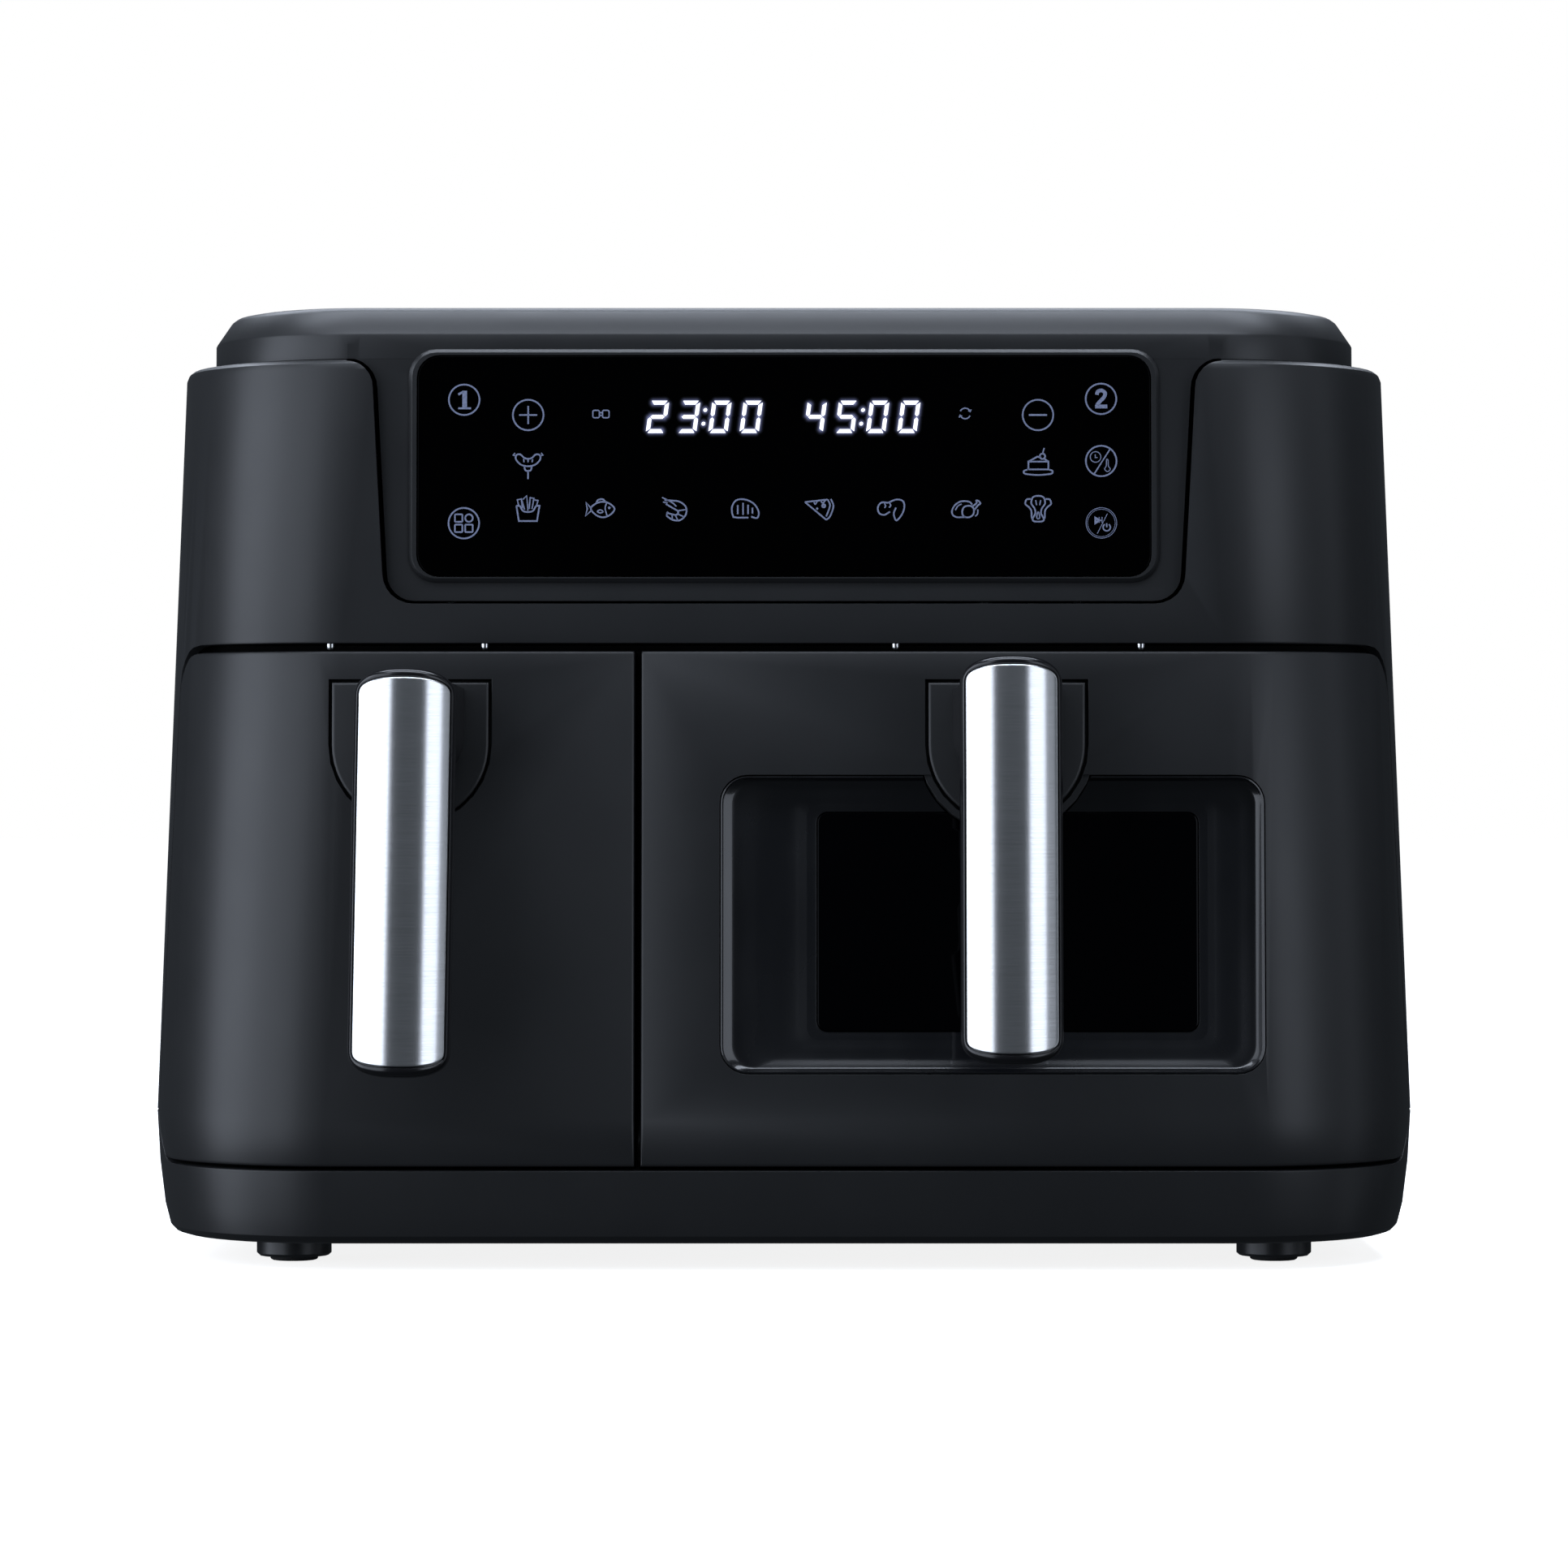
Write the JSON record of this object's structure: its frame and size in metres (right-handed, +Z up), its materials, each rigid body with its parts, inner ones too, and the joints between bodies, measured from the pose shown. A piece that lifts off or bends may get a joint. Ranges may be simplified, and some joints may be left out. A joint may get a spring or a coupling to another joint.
{
  "type": "air fryer",
  "caption": "Countertop air fryer with two side-by-side drawers of unequal width, steel-faced handles, a window in the wide drawer and a touch display.",
  "frame": {"origin": "centre of the bounding box's base, on the plane that the feet stand on", "axes": "+X to the right as seen from the front, +Y from the handles to the rear cover, +Z up; the display and drawers face -Y"},
  "size_m": [0.412, 0.37, 0.3085],
  "materials": {
    "housing_plastic": "fine satin grain, bluish charcoal",
    "black_plastic": "satin black",
    "smoked_plastic": "polished, smoked",
    "display_glass": "polished black, back-printed",
    "window_glass": "polished, dark tint",
    "brushed_steel": "brushed across the handle",
    "bright_steel": "bright",
    "sheet_steel": "aluminised sheet, satin",
    "nonstick_coating": "speckled non-stick, satin",
    "rubber": "matte",
    "silicone": "matte",
    "circuit_board": "solder resist",
    "cast_aluminium": "as stamped"
  },
  "bodies": {
    "housing": {"base_tray": "housing_plastic", "body_shell": "housing_plastic", "front_frame": "black_plastic", "rear_cover": "black_plastic", "top_cover": "housing_plastic", "touch_glass": "display_glass", "display_module": "black_plastic", "control_board": "circuit_board", "power_board": "circuit_board", "cord_gland": "rubber", "left_chamber": "sheet_steel", "left_element_guard": "sheet_steel", "left_heating_element": "bright_steel", "left_fan_motor": "cast_aluminium", "left_motor_bracket": "sheet_steel", "left_drawer_sensor": "black_plastic", "left_temperature_probe": "bright_steel", "rear_cover_screw_left": "bright_steel", "right_chamber": "sheet_steel", "right_element_guard": "sheet_steel", "right_heating_element": "bright_steel", "right_fan_motor": "cast_aluminium", "right_motor_bracket": "sheet_steel", "right_drawer_sensor": "black_plastic", "right_temperature_probe": "bright_steel", "rear_cover_screw_right": "bright_steel", "foot_pad_front_left": "rubber", "foot_pad_front_right": "rubber", "foot_pad_rear_left": "rubber", "foot_pad_rear_right": "rubber", "guide_pin_1": "bright_steel", "guide_pin_2": "bright_steel", "guide_pin_3": "bright_steel", "guide_pin_4": "bright_steel"},
    "left_drawer": {"left_drawer_front": "housing_plastic", "left_drawer_backplate": "black_plastic", "left_pan": "nonstick_coating", "left_handle": "black_plastic", "left_handle_cover": "brushed_steel", "left_handle_shield": "housing_plastic", "left_handle_screw": "bright_steel"},
    "right_drawer": {"right_drawer_front": "housing_plastic", "right_drawer_backplate": "black_plastic", "right_pan": "nonstick_coating", "right_handle": "black_plastic", "right_handle_cover": "brushed_steel", "right_handle_shield": "housing_plastic", "right_handle_screw": "bright_steel", "window_bezel": "smoked_plastic", "window_glass": "window_glass", "inner_window_glass": "window_glass", "window_seal": "silicone"},
    "left_plate": {"left_crisper_plate": "nonstick_coating"},
    "right_plate": {"right_crisper_plate": "nonstick_coating"},
    "left_fan": {"left_motor_shaft": "bright_steel", "left_hot_fan": "cast_aluminium", "left_cooling_fan": "cast_aluminium"},
    "right_fan": {"right_motor_shaft": "bright_steel", "right_hot_fan": "cast_aluminium", "right_cooling_fan": "cast_aluminium"}
  },
  "joints": [
    {"name": "left_drawer_slide", "type": "slide", "parent": "housing", "child": "left_drawer", "axis": [0, -1, 0], "range_m": [0, 0.24]},
    {"name": "left_plate_lift", "type": "slide", "parent": "left_drawer", "child": "left_plate", "axis": [0, 0, 1], "range_m": [0, 0.1]},
    {"name": "left_fan_spin", "type": "hinge", "parent": "housing", "child": "left_fan", "pos_m": [-0.1195, 0.029, 0.23], "axis": [0, 0, 1], "continuous": true},
    {"name": "right_drawer_slide", "type": "slide", "parent": "housing", "child": "right_drawer", "axis": [0, -1, 0], "range_m": [0, 0.24]},
    {"name": "right_plate_lift", "type": "slide", "parent": "right_drawer", "child": "right_plate", "axis": [0, 0, 1], "range_m": [0, 0.1]},
    {"name": "right_fan_spin", "type": "hinge", "parent": "housing", "child": "right_fan", "pos_m": [0.073, 0.029, 0.23], "axis": [0, 0, 1], "continuous": true}
  ]
}
